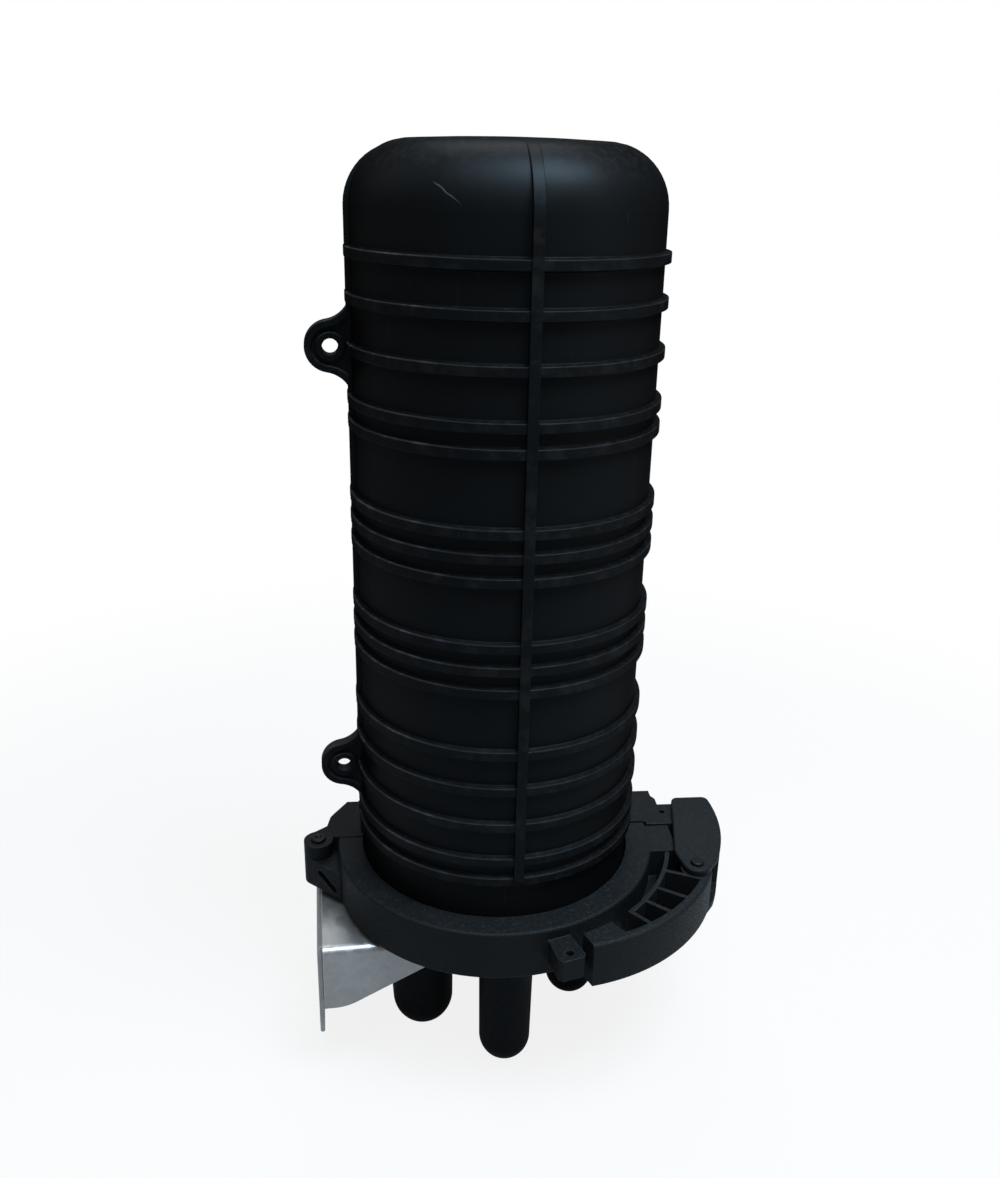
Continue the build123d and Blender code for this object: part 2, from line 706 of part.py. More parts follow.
def lever_pocket(begin, end, inner_r):
    """Blind pocket between two angles, a wall's thickness inside an outline with that inner radius."""
    with BuildSketch(clamp_level(latch_top)) as pocket:
        lever_outline(inner_r - lever_wall)
        offset(amount=-lever_wall, mode=Mode.REPLACE)
        Polygon(polar(lever_in_r / 2, begin), polar(2 * clamp_r, begin), polar(2 * clamp_r, end),
                polar(lever_in_r / 2, end), align=None, mode=Mode.INTERSECT)
    extrude(pocket.sketch, amount=latch_bottom + lever_floor - latch_top, mode=Mode.SUBTRACT)


# Lever with its open pockets
with BuildPart() as latch_lever:
    with BuildSketch(clamp_level(latch_bottom)):
        lever_outline()
    extrude(amount=latch_top - latch_bottom)
    top_edges = latch_lever.edges().group_by(Axis.Z)[-1]
    fillet(max(top_edges, key=lambda edge: edge.length), lever_round)
    drill([lever_pivot], latch_pin_r + pin_gap, latch_bottom - bite, latch_top + bite)
    half_rib = degrees(pocket_rib / 2 / lever_in_r)
    for pocket_begin, pocket_end in zip(pocket_angles[:-2], pocket_angles[1:-1]):
        lever_pocket(pocket_begin - half_rib, pocket_end + half_rib, lever_in_r + lever_skin)
    lever_pocket(pocket_angles[-2] - half_rib, pocket_angles[-1], lever_in_r - lever_wall)
    with BuildSketch(clamp_level(latch_top)):
        first = pocket_angles[0] + half_rib
        Polygon(polar(lever_in_r / 2, first), polar(2 * clamp_r, first), polar(2 * clamp_r, 0),
                polar(lever_in_r / 2, 0), align=None)
        Circle(lever_in_r + lever_skin, mode=Mode.SUBTRACT)
        with Locations(lever_pivot):
            Circle(lever_hub_r, mode=Mode.SUBTRACT)
            with Locations((lever_hub_r / 2, -lever_hub_r)):
                Rectangle(lever_hub_r, 4 * lever_hub_r, mode=Mode.SUBTRACT)
    extrude(amount=latch_bottom + lever_floor - latch_top, mode=Mode.SUBTRACT)
save(latch_lever, "latch_lever")

# Wall bracket: shelf and side flanges as one folded section, and the back plate folded down from the shelf
shelf_height = -deck_drop
with BuildPart() as wall_bracket:
    back_x = -wall_to_axis
    with BuildSketch(side_plane(back_x + sheet + plate_slit)):
        with BuildLine():
            fold = FilletPolyline((-bracket_half_width + sheet / 2, shelf_height - flange_back),
                                  (-bracket_half_width + sheet / 2, shelf_height - sheet / 2),
                                  (bracket_half_width - sheet / 2, shelf_height - sheet / 2),
                                  (bracket_half_width - sheet / 2, shelf_height - flange_back),
                                  radius=bend_r + sheet / 2)
            offset(amount=sheet / 2, side=Side.BOTH)
        make_face()
    extrude(amount=shelf_end_x - back_x - sheet - plate_slit)
    with BuildSketch(front_plane(y=bracket_half_width * 2)):
        with BuildLine():
            start = (back_x + sheet + bend_r + flange_straight, shelf_height - flange_back)
            end = (shelf_end_x + bite, shelf_height - flange_front)
            Polyline(end, (end[0], shelf_height - 2 * flange_back), (back_x, shelf_height - 2 * flange_back),
                     (back_x, shelf_height - flange_back))
            FilletPolyline((back_x, shelf_height - flange_back), start, end, radius=flange_round)
        make_face()
    extrude(amount=4 * bracket_half_width, mode=Mode.SUBTRACT)
    with BuildSketch(front_plane()):
        with BuildLine():
            FilletPolyline((back_x + sheet / 2, shelf_height - plate_height),
                           (back_x + sheet / 2, shelf_height - sheet / 2),
                           (back_x + 2 * sheet + 2 * bend_r, shelf_height - sheet / 2),
                           radius=bend_r + sheet / 2)
            offset(amount=sheet / 2, side=Side.BOTH)
        make_face()
    extrude(amount=bracket_half_width - sheet - bend_r, both=True)
    slot_half = oval_centres / 2 + oval_half_width + port_clearance
    slot_back = oval_x - oval_half_width - port_clearance
    with BuildSketch(level(shelf_height)):
        with Locations(((slot_back + shelf_end_x + bite) / 2, 0)):
            Rectangle(shelf_end_x + bite - slot_back, 2 * slot_half)
        with Locations(*bracket_screws_at):
            Circle(bracket_screw_r + screw_gap)
    extrude(amount=-sheet, mode=Mode.SUBTRACT)
    with BuildSketch(Plane(origin=(0, 0, 0), x_dir=(0, 1, 0), z_dir=(1, 0, 0))):
        with GridLocations(wall_hole_dy, wall_hole_dz, 2, 2):
            Circle(wall_hole_r)
    extrude(amount=sheet, mode=Mode.SUBTRACT)
save(wall_bracket, "wall_bracket")

# Screws and washers under the bracket
with BuildPart() as bracket_washers:
    with BuildSketch(level(shelf_height - sheet)):
        with Locations(*bracket_screws_at):
            Circle(washer_r)
            Circle(bracket_screw_r + screw_gap, mode=Mode.SUBTRACT)
    extrude(amount=-washer_thick)
save(bracket_washers, "bracket_washers")

with BuildPart() as bracket_screws:
    seat = shelf_height - sheet - washer_thick
    with BuildSketch(level(seat)):
        with Locations(*bracket_screws_at):
            Circle(bracket_screw_r)
    extrude(amount=sheet + washer_thick + bracket_screw_depth - bite)
    with BuildSketch(level(seat)):
        with Locations(*bracket_screws_at):
            RegularPolygon(bracket_screw_head_r, 6, major_radius=False)
    extrude(amount=-bracket_screw_head)
save(bracket_screws, "bracket_screws")

# Tray carrier, an upright plate on a folded foot
with BuildPart() as tray_carrier:
    with BuildSketch(front_plane(y=carrier_y)):
        with Locations((0, (foot_height + carrier_neck_top) / 2)):
            Rectangle(2 * carrier_neck, carrier_neck_top - foot_height)
        with Locations((0, (carrier_neck_top + carrier_top) / 2)):
            RectangleRounded(2 * carrier_half_width, carrier_top - carrier_neck_top, corner_r)
    extrude(amount=-carrier_thick)
    with BuildSketch(level(foot_height)):
        with Locations((0, carrier_y + carrier_thick)):
            Rectangle(2 * carrier_neck, foot_depth + carrier_thick, align=(Align.CENTER, Align.MAX))
        with Locations(*foot_screws_at):
            Circle(small_screw_r + screw_gap, mode=Mode.SUBTRACT)
    extrude(amount=carrier_thick)
    with BuildSketch(front_plane(y=carrier_y)):
        with Locations((0, rack_screw_height)):
            with GridLocations(2 * rack_screw_x, 0, 2, 1):
                Circle(small_screw_r + screw_gap)
        with Locations((0, (basket_bottom + basket_top) / 2)):
            with GridLocations(2 * (basket_half_width - standoff_inset),
                               basket_top - basket_bottom - 2 * standoff_inset, 2, 2):
                Circle(small_screw_r + screw_gap)
    extrude(amount=-carrier_thick, mode=Mode.SUBTRACT)
save(tray_carrier, "tray_carrier")


def pan_screws(places, seat, length):
    """Pan-head screws pointing down from a seat height."""
    with BuildSketch(level(seat)) as shanks:
        with Locations(*places):
            Circle(small_screw_r)
    extrude(shanks.sketch, amount=-length)
    with BuildSketch(level(seat)) as heads:
        with Locations(*places):
            Circle(small_screw_head_r)
    extrude(heads.sketch, amount=small_screw_head)


with BuildPart() as carrier_screws:
    pan_screws(foot_screws_at, foot_height + carrier_thick, carrier_thick + small_screw_depth - bite)
save(carrier_screws, "carrier_screws")


def tray_back(number):
    """Y of the back face of a tray, counted from the carrier forwards."""
    return carrier_y - tray_gap - number * (tray_thick + tray_gap)


stack_front = tray_back(tray_count - 1) - tray_thick

# Rack whose grooves hold the trays' hinge bars
with BuildPart() as tray_rack:
    with BuildSketch(level(rack_bottom)):
        with Locations((0, (carrier_y + stack_front) / 2)):
            Rectangle(2 * rack_half_width, carrier_y - stack_front)
    extrude(amount=rack_top - rack_bottom)
    for number in range(tray_count):
        with BuildSketch(side_plane(-hinge_bar_half - seat_gap)):
            with Locations((tray_back(number) - tray_thick / 2, hinge_bar_height)):
                Circle(hinge_bar_r + seat_gap)
        extrude(amount=2 * (hinge_bar_half + seat_gap), mode=Mode.SUBTRACT)
    with BuildSketch(front_plane(y=carrier_y)):
        with Locations((0, rack_screw_height)):
            with GridLocations(2 * rack_screw_x, 0, 2, 1):
                Circle(small_screw_r + screw_gap)
    extrude(amount=small_screw_depth / 2, mode=Mode.SUBTRACT)
save(tray_rack, "tray_rack")

with BuildPart() as rack_screws:
    screw_plane = front_plane(y=carrier_y + carrier_thick, height=rack_screw_height)
    with BuildSketch(screw_plane):
        with GridLocations(2 * rack_screw_x, 0, 2, 1):
            Circle(small_screw_r)
    extrude(amount=carrier_thick + small_screw_depth / 2 - seat_gap)
    with BuildSketch(screw_plane):
        with GridLocations(2 * rack_screw_x, 0, 2, 1):
            Circle(small_screw_head_r)
    extrude(amount=-standoff)
save(rack_screws, "rack_screws")


def tray_face(shrink=0.0):
    """Plan of a tray, smaller all round by shrink."""
    with Locations((0, tray_bottom + tray_height / 2)):
        RectangleRounded(2 * (tray_half_width - shrink), tray_height - 2 * shrink, tray_corner_r - shrink)


def splice_tray(number):
    """Open tray with winding drums, a splice comb and a hinge bar along its foot."""
    back = tray_back(number)
    inner = back - tray_floor
    with BuildPart() as tray:
        with BuildSketch(front_plane(y=back)):
            tray_face()
        extrude(amount=tray_thick)
        with BuildSketch(front_plane(y=inner)):
            tray_face(tray_rim)
        extrude(amount=tray_thick, mode=Mode.SUBTRACT)
        with BuildSketch(front_plane(y=inner)):
            with Locations((0, tray_bottom + drum_inset), (0, tray_bottom + tray_height - drum_inset)):
                Circle(drum_r)
                Circle(drum_r - drum_wall, mode=Mode.SUBTRACT)
            with Locations((0, tray_bottom + tray_height / 2)):
                with GridLocations(comb_width / comb_slots, 0, comb_slots, 1):
                    Rectangle(drum_wall, comb_height)
        extrude(amount=tray_thick - 2 * tray_floor)
        middle = back - tray_thick / 2
        with BuildSketch(side_plane(-hinge_bar_half)):
            with Locations((middle, hinge_bar_height)):
                Circle(hinge_bar_r)
                Rectangle(2 * drum_wall, tray_bottom + bite - hinge_bar_height,
                          align=(Align.CENTER, Align.MIN))
        extrude(amount=2 * hinge_bar_half)
    save(tray, f"splice_tray_{number + 1}")


for tray_number in range(tray_count):
    splice_tray(tray_number)

# Clear cover on the front tray
with BuildPart() as tray_cover:
    with BuildSketch(front_plane(y=stack_front)):
        tray_face()
    extrude(amount=cover_thick)
save(tray_cover, "tray_cover")

# Strap round the trays and the carrier
with BuildPart() as tray_strap:
    strap_back, strap_front = carrier_y + carrier_thick + seat_gap, stack_front - cover_thick - seat_gap
    strap_half = carrier_half_width + seat_gap
    with BuildSketch(level(strap_height)):
        with Locations((0, (strap_back + strap_front) / 2)):
            RectangleRounded(2 * (strap_half + strap_thick), strap_back - strap_front + 2 * strap_thick,
                             2 * seat_gap + strap_thick)
            RectangleRounded(2 * strap_half, strap_back - strap_front, 2 * seat_gap, mode=Mode.SUBTRACT)
    extrude(amount=strap_width)
save(tray_strap, "tray_strap")

# Storage basket for loose tubes behind the carrier
with BuildPart() as storage_basket:
    basket_y = carrier_y + carrier_thick + standoff + strap_thick
    basket_middle = (basket_bottom + basket_top) / 2
    basket_tall = basket_top - basket_bottom
    with BuildSketch(front_plane(y=basket_y, height=basket_middle)):
        RectangleRounded(2 * basket_half_width, basket_tall, basket_corner_r)
    extrude(amount=-basket_depth)
    with BuildSketch(front_plane(y=basket_y + basket_wall, height=basket_middle)):
        RectangleRounded(2 * (basket_half_width - basket_wall), basket_tall - 2 * basket_wall,
                         basket_corner_r - basket_wall)
    extrude(amount=-basket_depth, mode=Mode.SUBTRACT)
    with BuildSketch(front_plane(y=carrier_y + carrier_thick, height=basket_middle)):
        with GridLocations(2 * (basket_half_width - standoff_inset), basket_tall - 2 * standoff_inset, 2, 2):
            Circle(standoff_r)
    extrude(amount=-(basket_y - carrier_y - carrier_thick + basket_wall))
save(storage_basket, "storage_basket")

# Strength member clamps, one beside each round port
cable_clamp_names = ("cable_clamp_front", "cable_clamp_right", "cable_clamp_rear")
for clamp_name, clamp_angle, (clamp_x, clamp_y) in zip(cable_clamp_names, port_angles, cable_clamps_at):
    with BuildPart() as cable_clamp:
        clamp_plane = Plane(origin=(wall_to_axis + clamp_x, clamp_y, parting_rise + foot_height),
                            x_dir=(*polar(1, clamp_angle), 0), z_dir=(0, 0, 1))
        with BuildSketch(clamp_plane):
            Rectangle(cable_clamp_foot, cable_clamp_width)
            Circle(small_screw_r + screw_gap, mode=Mode.SUBTRACT)
        extrude(amount=cable_clamp_sheet)
        with BuildSketch(clamp_plane):
            with Locations((cable_clamp_foot / 2 - cable_clamp_sheet / 2, 0)):
                Rectangle(cable_clamp_sheet, cable_clamp_width)
        extrude(amount=cable_clamp_rise)
    save(cable_clamp, clamp_name)

with BuildPart() as cable_clamp_screws:
    pan_screws(cable_clamps_at, foot_height + cable_clamp_sheet,
               cable_clamp_sheet + small_screw_depth - bite)
save(cable_clamp_screws, "cable_clamp_screws")
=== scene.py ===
# %% [markdown]
# A dome splice closure
#
# A ribbed black dome stands on a base with blind cable ports. A hinged clamp ring with a lever latch
# holds the two together, and a folded zinc-coated bracket carries them on a wall. The solids come from
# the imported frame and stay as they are. This lesson gives each one a finish worked out from its own
# coordinates, adds the small repeated pieces that are easier to grow than to draw, and sets up the
# camera and light.

import json
from math import cos, pi, radians, sin

import bpy
from mathutils import Matrix, Vector


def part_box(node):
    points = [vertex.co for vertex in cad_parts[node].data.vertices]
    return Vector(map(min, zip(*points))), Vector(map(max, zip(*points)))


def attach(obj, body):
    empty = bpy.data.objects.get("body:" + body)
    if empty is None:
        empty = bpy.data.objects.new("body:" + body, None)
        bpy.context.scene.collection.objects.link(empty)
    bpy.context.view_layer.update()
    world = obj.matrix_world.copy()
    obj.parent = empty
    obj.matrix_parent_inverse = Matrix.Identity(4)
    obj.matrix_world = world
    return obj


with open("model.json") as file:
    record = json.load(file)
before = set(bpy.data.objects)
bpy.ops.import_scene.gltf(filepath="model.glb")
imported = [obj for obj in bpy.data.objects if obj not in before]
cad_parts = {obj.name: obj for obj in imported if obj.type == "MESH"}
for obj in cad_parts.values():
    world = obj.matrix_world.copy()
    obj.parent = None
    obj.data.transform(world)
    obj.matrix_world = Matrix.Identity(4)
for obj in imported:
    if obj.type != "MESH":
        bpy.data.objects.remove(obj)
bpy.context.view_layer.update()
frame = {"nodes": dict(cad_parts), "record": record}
nodes = frame["nodes"]
scene = bpy.context.scene

# %% [markdown]
# Where the closure stands
#
# The frame's origin is on the wall, so most finishes need the dome's own axis and the height of its
# foot. Both are read from the solids: the O-ring is centred on the axis, and the dome's foot is the
# parting plane.

# %% Axis and heights
MM = 0.001
DOME_R = 72.5 * MM
ring_low, ring_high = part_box("o_ring")
dome_low, dome_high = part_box("dome")
axis_x = (ring_low.x + ring_high.x) / 2
parting_z = dome_low.z
floor_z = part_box("port_front")[0].z
print("axis at x =", round(axis_x, 4), "parting plane at z =", round(parting_z, 4))

# %% [markdown]
# The camera
#
# The photograph looks down on the closure from in front and a little to its left. The lens and the
# angles were worked out from the ribs, which are circles of one size at known heights, from the outline
# and from the pins. Blender could aim a camera at a point, but this one is rolled a little as well, so
# it is built from three directions at right angles: right, up and back.

# %% Camera at the photograph's angle
FRAME_HIGH = 1178
FOCAL_PIXELS = 1097.3
CAMERA_AZIMUTH, CAMERA_PITCH, CAMERA_ROLL = radians(9.519), radians(21.064), radians(1.267)
CAMERA_X, CAMERA_Y, CAMERA_Z = -87.4 * MM, -521.3 * MM, 365.2 * MM
CLIP_START = 0.01

camera_place = Vector((axis_x + CAMERA_X, CAMERA_Y, parting_z + CAMERA_Z))
forward = Vector((sin(CAMERA_AZIMUTH) * cos(CAMERA_PITCH), cos(CAMERA_AZIMUTH) * cos(CAMERA_PITCH),
                  -sin(CAMERA_PITCH)))
level_right = Vector((cos(CAMERA_AZIMUTH), -sin(CAMERA_AZIMUTH), 0))
level_up = level_right.cross(forward)
right = level_right * cos(CAMERA_ROLL) + level_up * sin(CAMERA_ROLL)
up = level_up * cos(CAMERA_ROLL) - level_right * sin(CAMERA_ROLL)

lens = bpy.data.cameras.new("camera")
lens.sensor_fit = "VERTICAL"
lens.lens = lens.sensor_height * FOCAL_PIXELS / FRAME_HIGH
lens.clip_start = CLIP_START
camera = bpy.data.objects.new("camera", lens)
turn = Matrix((right, up, -forward)).transposed().to_4x4()
camera.matrix_world = Matrix.Translation(camera_place) @ turn
scene.collection.objects.link(camera)
scene.camera = camera
print("camera", [round(v, 3) for v in camera_place], "lens", round(lens.lens, 2), "mm")

# %% [markdown]
# Sums with sockets
#
# A finish is a short sum of patterns: a mask times an amount, one minus a mask. Placing Math nodes by
# hand hides that sum, so one small class wraps a socket and turns Python's operators into nodes. Every
# other kind of node goes through its one method `node`, which sets the node up first and then fills or
# links its sockets.


# %% A socket that takes part in sums
class Tap:
    """One value in a node tree."""

    def __init__(self, tree, socket=None):
        self.tree = tree
        self.socket = socket

    def node(self, kind, inputs=None, out=0, **settings):
        """Add a node, set it up, fill its sockets and return one of its outputs."""
        made = self.tree.nodes.new(kind)
        for name, value in settings.items():
            setattr(made, name, value)
        for name, value in (inputs or {}).items():
            self.feed(made.inputs[name], value)
        return Tap(self.tree, made.outputs[out])

    def feed(self, socket, value):
        """Link a tap to a socket, or write a plain value in it."""
        if isinstance(value, Tap):
            self.tree.links.new(value.socket, socket)
        else:
            socket.default_value = value

    def sibling(self, out):
        """Another output of the node that this value comes from."""
        return Tap(self.tree, self.socket.node.outputs[out])

    def maths(self, operation, *values):
        return self.node("ShaderNodeMath", dict(enumerate(values)), operation=operation)

    def __add__(self, other):
        return self.maths("ADD", self, other)

    def __sub__(self, other):
        return self.maths("SUBTRACT", self, other)

    def __rsub__(self, other):
        return self.maths("SUBTRACT", other, self)

    def __mul__(self, other):
        return self.maths("MULTIPLY", self, other)

    def __pow__(self, other):
        return self.maths("POWER", self, other)

    __radd__ = __add__

    def most(self, other):
        return self.maths("MAXIMUM", self, other)

    def step(self, low, high):
        """Rise smoothly from 0 to 1 as the value goes from low to high, or fall where low is the larger."""
        return self.node("ShaderNodeMapRange", {"Value": self, "From Min": low, "From Max": high},
                         interpolation_type="SMOOTHSTEP")

    def dot(self, other):
        """How far one direction or place lies along another."""
        return self.node("ShaderNodeVectorMath", {0: self, 1: other}, out="Value", operation="DOT_PRODUCT")

    def mix(self, first, second):
        """Colour that goes from first to second as this value goes from 0 to 1."""
        return self.node("ShaderNodeMix", {0: self, 6: first, 7: second}, out=2, data_type="RGBA")


# %% [markdown]
# What every finish is made from
#
# `Finish` opens a material, keeps its Object coordinates at hand and offers the few patterns that this
# object needs: noise, cells, the distance from the dome's axis, how far a surface faces up, and how
# close an edge is. An edge shows itself where a rounded normal leaves the true one. Pictures wrapped
# round the solids could do the same, but they would have to be unwrapped, while these patterns run over
# every rib without a seam. In the finishes below, sizes of patterns and depths of relief are in
# millimetres, and the other plain numbers are shares from 0 to 1.


# %% Patterns shared by the finishes
EDGE_STARTS, EDGE_FULL = 0.01, 0.16
RIM_STARTS, RIM_FULL = 0.15, 0.8
BEVEL_SAMPLES = 6


class Finish:
    """A material under construction, with the closure's coordinates and the patterns it is built from."""

    def __init__(self, name):
        self.material = bpy.data.materials.new(name)
        self.material.use_nodes = True
        self.tree = self.material.node_tree
        self.shader = self.tree.nodes["Principled BSDF"]
        self.start = Tap(self.tree)
        self.place = self.start.node("ShaderNodeTexCoord", out="Object")
        self.normal = self.start.node("ShaderNodeNewGeometry", out="Normal")

    def noise(self, size, detail, stretch=(1, 1, 1), rough=0.5):
        """Cloudy noise with lumps of about a size in millimetres."""
        where = self.start.node("ShaderNodeMapping", {"Vector": self.place, "Scale": stretch})
        return self.start.node("ShaderNodeTexNoise", {"Vector": where, "Scale": 1 / (size * MM),
                                                      "Detail": detail, "Roughness": rough})

    def cells(self, size, channel):
        """Irregular cells of about a size in millimetres, each with a chance value of its own."""
        colour = self.start.node("ShaderNodeTexVoronoi", {"Vector": self.place, "Scale": 1 / (size * MM)},
                                 out="Color", feature="F1")
        return self.start.node("ShaderNodeSeparateColor", {"Color": colour}, out=channel)

    def coordinate(self, letter):
        return self.start.node("ShaderNodeSeparateXYZ", {"Vector": self.place}, out=letter)

    def radius(self):
        """Distance from the dome's axis, in metres."""
        across, deep = self.coordinate("X") - axis_x, self.coordinate("Y")
        return (across * across + deep * deep) ** 0.5

    def upward(self, normal):
        """How far a normal points up, from -1 to 1."""
        return self.start.node("ShaderNodeSeparateXYZ", {"Vector": normal}, out="Z")

    def rounded(self, radius):
        """Normal with edges eased over a radius in millimetres."""
        return self.start.node("ShaderNodeBevel", {"Radius": radius * MM}, samples=BEVEL_SAMPLES)

    def edge(self, eased):
        """1 along an edge and 0 away from it."""
        return (1 - eased.dot(self.normal)).step(EDGE_STARTS, EDGE_FULL)

    def bump(self, height, depth, under=None):
        """Normal raised by a height pattern of a depth in millimetres, over another normal."""
        inputs = {"Height": height, "Distance": depth * MM, "Strength": 1.0}
        if under is not None:
            inputs["Normal"] = under
        return self.start.node("ShaderNodeBump", inputs)

    def close(self, **sockets):
        """Fill the shader's sockets, named with underscores for spaces."""
        for name, value in sockets.items():
            self.start.feed(self.shader.inputs[name.replace("_", " ")], value)
        return self.material

    def show(self, share, first, second):
        """Show a mix of two shaders, the second by a share."""
        both = self.start.node("ShaderNodeMixShader", {0: share, 1: first, 2: second})
        self.start.feed(self.tree.nodes["Material Output"].inputs["Surface"], both)

    def dull_rim(self, colour, normal, amount):
        """Let a matt shader take over where the surface is seen edge on, as a fine texture does."""
        facing = self.start.node("ShaderNodeLayerWeight", {"Blend": 0.5}, out="Facing")
        matt = self.start.node("ShaderNodeBsdfDiffuse", {"Color": colour, "Normal": normal})
        glossy = Tap(self.tree, self.shader.outputs["BSDF"])
        self.show(facing.step(RIM_STARTS, RIM_FULL) * amount, glossy, matt)


SKY_TINT = (0.74, 0.9, 1.0, 1.0)


def grey(value, blue=1.0):
    """Neutral colour, or a bluish one where blue is above 1."""
    return value, value * (1 + blue) / 2, value * blue, 1.0


# %% [markdown]
# The dome
#
# The dome is black polyethylene from a polished mould, so it is satin rather than grained, and soft
# enough to scuff. Its ribs take the knocks: their crests are scuffed to a dull grey in broken patches,
# most of all on the left, and their upper edges carry a painted highlight, a lighter line where light
# from above would catch them. One fine scratch crosses the shoulder. Dust gathers where a face looks up.
# Cutting the scratch into the mesh would take many small faces, so a mask lightens, roughens and dents
# the finish along a line instead.


# %% Satin dome plastic
# The last of these is the pale grey of scuffed rib crests, and also of the painted highlight on the ribs'
# upper edges.
DOME_DARK, DOME_LIGHT, DOME_WEAR_AND_HIGHLIGHT = grey(0.0013), grey(0.0025, 1.05), grey(0.040, 1.08)
CREST_STARTS, CREST_FULL = DOME_R + 1.2 * MM, DOME_R + 2.2 * MM
KNOCKS_START, KNOCKS_FULL = axis_x - 22 * MM, axis_x - 62 * MM
SCRATCH_START, SCRATCH_END = (-40.2, -57.7, 359.1), (-29.6, -66.0, 350.7)
SCRATCH_OUTWARD = (-0.4, -0.75, 0.5)
SCRATCH_WIDTH, SCRATCH_BEND = 0.4 * MM, 1.6 * MM


def on_dome(x, y, height):
    """Place given in millimetres from the dome's axis and its foot."""
    return Vector((axis_x + x * MM, y * MM, parting_z + height * MM))


def scratch(finish, start, end, outward):
    """Thin line on the surface between two places, cut by a plane that holds the outward direction."""
    outward = Vector(outward).normalized()
    length = (end - start).length
    along = (end - start).normalized()
    across = along.cross(outward).normalized()
    offset = finish.start.node("ShaderNodeVectorMath", {0: finish.place, 1: start[:]}, operation="SUBTRACT")
    way, apart, out = (offset.dot(direction[:]) for direction in (along, across, outward))
    begun = way.step(-1 * MM, 3 * MM)
    going = way.step(length + 1 * MM, length - 6 * MM)
    outside = out.step(-12 * MM, -8 * MM)
    bend = (finish.noise(6, 2) - 0.5) * SCRATCH_BEND
    line = finish.start.maths("ABSOLUTE", apart + bend).step(SCRATCH_WIDTH, 0)
    return line * (begun * going * outside)


def dome_plastic(name):
    finish = Finish(name)
    eased = finish.rounded(0.8)
    edge = finish.edge(eased)
    clouds = finish.noise(26, 4)
    grain = finish.noise(0.9, 3, rough=0.65)
    patches = finish.noise(9, 5, rough=0.65).step(0.46, 0.66)
    crest = finish.radius().step(CREST_STARTS, CREST_FULL)
    upper = finish.upward(eased).step(0.1, 0.5)
    # Crest wear in broken patches, plus a painted highlight: a lighter line along the ribs' upper edges,
    # where light from above would catch them.
    rubbed_and_edge_highlight = (crest * 0.12 * patches).most(crest * upper * edge * (patches * 0.35 + 0.5))
    left = finish.coordinate("X").step(KNOCKS_START, KNOCKS_FULL)
    knocked = left * crest * upper * (patches * 0.5 + 0.3)
    runs = finish.noise(1.1, 3, stretch=(1, 1, 0.06)).step(0.66, 0.74)
    streaks = runs * finish.noise(30, 2).step(0.5, 0.62)
    level = finish.upward(finish.normal).step(0.2, 0.95)
    dust = level * finish.noise(3.5, 6, rough=0.7).step(0.42, 0.75)
    scored = scratch(finish, on_dome(*SCRATCH_START), on_dome(*SCRATCH_END), SCRATCH_OUTWARD)
    # Wear, streaks, dust and the scratch, together with the painted highlight on the ribs' upper edges.
    wear_and_painted_light = (rubbed_and_edge_highlight * 0.6).most(streaks * 0.12).most(dust * 0.1).most(scored * 0.8).most(knocked)
    colour = wear_and_painted_light.mix((clouds * 0.5 + 0.25).mix(DOME_DARK, DOME_LIGHT), DOME_WEAR_AND_HIGHLIGHT)
    relief = finish.bump(grain * 0.3 + finish.noise(2.8, 3) * 0.7 - scored, 0.06, eased)
    finish.dull_rim(colour, relief, 0.9)
    return finish.close(Base_Color=colour, Normal=relief, Specular_IOR_Level=0.062, Specular_Tint=SKY_TINT,
                        Roughness=0.38 + clouds * 0.14 + grain * 0.06 + wear_and_painted_light * 0.3)


# %% [markdown]
# Base, clamp ring and latch
#
# These are glass-filled and come from a spark-eroded mould, so the whole surface is a fine even grain
# that breaks up any highlight. Edges that hands and tools reach are polished lighter. The grain is far
# finer than any mesh should be, so it is a bump, and it also varies the colour and the gloss a little.
# Dust lies on faces that look up, and the same lighter mark also stands for a painted sheen that the
# light from above lays on top faces, such as the ring's.


# %% Grained plastic
# Pale grey of worn edges and dust, also used as a painted sheen on faces that look up.
PLASTIC_WEAR_AND_SHEEN = grey(0.045, 1.1)


def grained_plastic(name, dark, light, rough, gloss):
    finish = Finish(name)
    eased = finish.rounded(0.9)
    edge = finish.edge(eased)
    clouds = finish.noise(18, 4)
    grain = finish.noise(1.1, 3, rough=0.65).step(0.34, 0.66)
    pits = finish.noise(1.9, 2)
    rubs = finish.noise(7, 5, rough=0.65).step(0.48, 0.68)
    level = finish.upward(finish.normal).step(0.4, 0.98)
    # Dust on faces that look up. Its share also paints the top faces lighter, a painted sheen of the light
    # from above.
    dust = level * finish.noise(2.2, 5, rough=0.7).step(0.5, 0.8)
    wear_and_painted_light = (edge * (0.3 + rubs * 0.7) * 0.55).most(dust * 0.2)
    colour = wear_and_painted_light.mix((clouds * 0.45 + grain * 0.55).mix(dark, light), PLASTIC_WEAR_AND_SHEEN)
    relief = finish.bump(grain * 0.6 + pits * 0.4, 0.17, eased)
    return finish.close(Base_Color=colour, Normal=relief, Specular_IOR_Level=gloss, Specular_Tint=SKY_TINT,
                        Roughness=rough + grain * 0.16 + clouds * 0.06)


# %% [markdown]
# Galvanised sheet
#
# Molten zinc freezes into flat crystals of all sizes. Each crystal tilts its own way, so it is one even
# tone that differs from its neighbours' in brightness and gloss. Cells of two sizes give the crystals,
# which noise would blur, and a stretched noise gives the rolling marks of the sheet below. The edges and
# the bend are painted near white, a painted highlight where the light would catch them.


# %% Zinc with its crystals
# The second colour is a painted highlight for the sheet's edges and bend.
ZINC_HANDLED, ZINC_EDGE_HIGHLIGHT = grey(0.26, 1.05), grey(0.85, 1.03)


